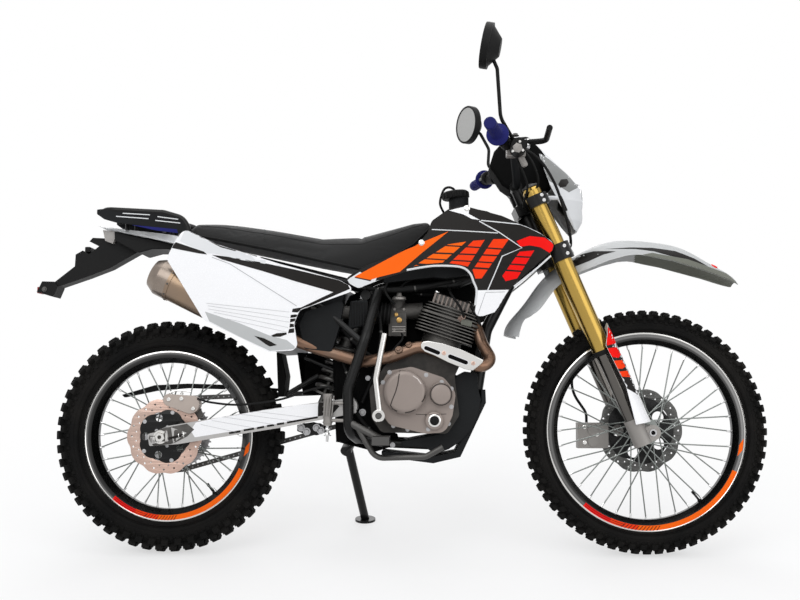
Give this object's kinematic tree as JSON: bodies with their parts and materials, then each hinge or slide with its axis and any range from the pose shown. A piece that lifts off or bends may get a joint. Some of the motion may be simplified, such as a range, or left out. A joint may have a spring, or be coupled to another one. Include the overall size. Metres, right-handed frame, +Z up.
{
  "type": "enduro motorcycle",
  "caption": "Enduro motorcycle with a single-cylinder engine, upside-down fork, wire wheels, long seat and tail rack, parked leaning on its side stand.",
  "frame": {"origin": "centre of the bounding box on the ground, with the machine leaning on its side stand", "axes": "+X forward, +Y to the rider's left, towards which the machine leans, +Z up"},
  "size_m": [2.118, 0.8045, 1.4811],
  "materials": {
    "tyre": "matt",
    "black_metal": "gloss",
    "steel": "brushed",
    "dark_steel": "oiled",
    "chrome": "polished",
    "gold_tube": "anodised",
    "bare_alloy": "satin",
    "brown_alloy": "satin",
    "bronze_alloy": "satin",
    "white_plastic": "gloss",
    "orange_plastic": "gloss",
    "black_plastic": "matt",
    "seat_cover": "grained",
    "rubber": "matt",
    "lamp_glass": "clear",
    "red_glass": "clear"
  },
  "bodies": {
    "chassis": {"frame_backbone": "black_metal", "frame_cradle": "black_metal", "subframe": "black_metal", "crankcase": "brown_alloy", "clutch_cover": "brown_alloy", "cylinder": "bare_alloy", "cylinder_head": "bare_alloy", "carburettor": "bare_alloy", "header_pipe": "bronze_alloy", "heat_shield": "chrome", "muffler": "bronze_alloy", "swingarm": "bare_alloy", "shock_absorber": "bronze_alloy", "rear_axle": "steel", "rear_caliper": "bronze_alloy", "drive_chain": "dark_steel", "seat": "seat_cover", "fuel_tank": "black_plastic", "shrouds": "orange_plastic", "side_panels": "white_plastic", "airbox": "black_plastic", "rear_fender": "white_plastic", "plate_holder": "black_plastic", "tail_light": "red_glass", "luggage_rack": "black_metal", "footpegs": "steel", "foot_levers": "steel", "kick_lever": "steel", "rear_master_cylinder": "bare_alloy", "skid_plate": "bare_alloy"},
    "steering": {"triple_clamps": "bare_alloy", "fork_outer_tubes": "gold_tube", "fork_inner_tubes": "chrome", "fork_lugs": "bare_alloy", "fork_guards": "white_plastic", "front_fender": "white_plastic", "headlight_mask": "white_plastic", "headlamp": "lamp_glass", "handlebar": "bare_alloy", "grips": "rubber", "control_levers": "bare_alloy", "mirrors": "black_plastic", "front_caliper": "brown_alloy", "brake_hose": "rubber", "front_axle": "steel"},
    "front_wheel": {"front_tyre": "tyre", "front_rim": "black_metal", "front_hub": "bare_alloy", "front_disc": "steel"},
    "rear_wheel": {"rear_tyre": "tyre", "rear_rim": "black_metal", "rear_hub": "bare_alloy", "rear_disc": "steel", "rear_sprocket": "dark_steel"},
    "side_stand": {"side_stand": "black_metal"}
  },
  "joints": [
    {"name": "steering", "type": "hinge", "parent": "chassis", "child": "steering", "pos_m": [0.44144, -0.06746, 0.80593], "axis": [-0.3907, 0.1725, 0.9042], "range_deg": [-38, 38]},
    {"name": "front_wheel_spin", "type": "hinge", "parent": "steering", "child": "front_wheel", "pos_m": [0.70965, -0.15564, 0.34365], "axis": [0, 0.9823, -0.1874], "continuous": true},
    {"name": "rear_wheel_spin", "type": "hinge", "parent": "chassis", "child": "rear_wheel", "pos_m": [-0.66035, -0.15869, 0.32767], "axis": [0, 0.9823, -0.1874], "continuous": true},
    {"name": "side_stand_fold", "type": "hinge", "parent": "chassis", "child": "side_stand", "pos_m": [-0.15537, -0.01876, 0.26071], "axis": [0.2086, 0.9092, 0.3602], "range_deg": [0, 100]}
  ]
}
